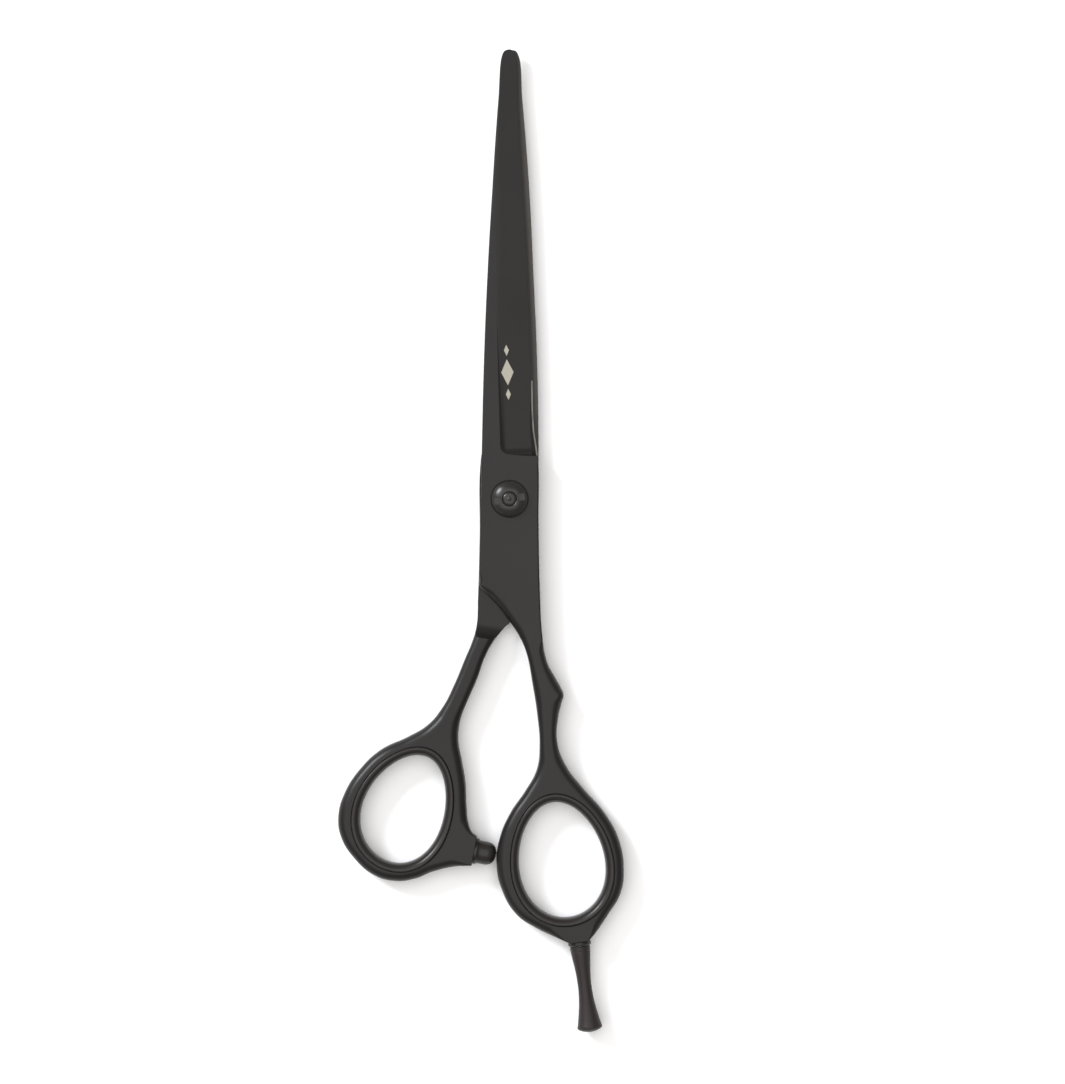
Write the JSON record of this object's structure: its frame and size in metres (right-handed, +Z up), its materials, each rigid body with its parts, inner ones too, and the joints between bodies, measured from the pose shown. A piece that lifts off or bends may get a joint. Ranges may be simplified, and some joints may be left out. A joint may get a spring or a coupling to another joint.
{
  "type": "hair cutting shears",
  "caption": "Slim black hair cutting shears with an offset grip: long pointed blades on an adjustable pivot, egg-shaped bows with soft inserts, a bumper and a screw-in finger rest.",
  "frame": {"origin": "on the pivot's axis, in the flat back face of the pivot bolt's head, which is the plane the shears lie on", "axes": "+Z up along the pivot's axis towards the tension nut, +Y along the closed blades to their tips, +X to the side of the finger bow"},
  "size_m": [0.061, 0.2099, 0.0078],
  "materials": {
    "coated_steel": "satin",
    "pivot_steel": "satin",
    "bright_steel": "satin",
    "soft_rubber": "matte",
    "rest_plastic": "matte",
    "nylon": "satin",
    "bronze": "satin"
  },
  "bodies": {
    "finger_side": {"finger_blade": "coated_steel", "pivot_bush": "bronze", "glide_washer": "nylon", "finger_insert": "soft_rubber"},
    "thumb_side": {"thumb_blade": "coated_steel", "pivot_bolt": "pivot_steel", "ride_washer": "nylon", "spring_washer": "bright_steel", "thumb_insert": "soft_rubber", "stop_bumper": "soft_rubber", "stop_stud": "bright_steel"},
    "nut": {"tension_nut": "pivot_steel", "nut_lock_ring": "nylon"},
    "rest": {"rest_washer": "soft_rubber", "rest_stud": "bright_steel", "finger_rest": "rest_plastic"}
  },
  "joints": [
    {"name": "blade_pivot", "type": "hinge", "parent": "finger_side", "child": "thumb_side", "pos_m": [0, 0, 0], "axis": [0, 0, -1], "range_deg": [0, 90]},
    {"name": "nut_turn", "type": "hinge", "parent": "thumb_side", "child": "nut", "pos_m": [0, 0, 0], "axis": [0, 0, 1], "range_deg": [-90, 90]},
    {"name": "rest_turn", "type": "hinge", "parent": "finger_side", "child": "rest", "pos_m": [0.0149, -0.0946, 0.0032], "axis": [0.1219, -0.9925, 0], "range_deg": [0, 360]}
  ]
}
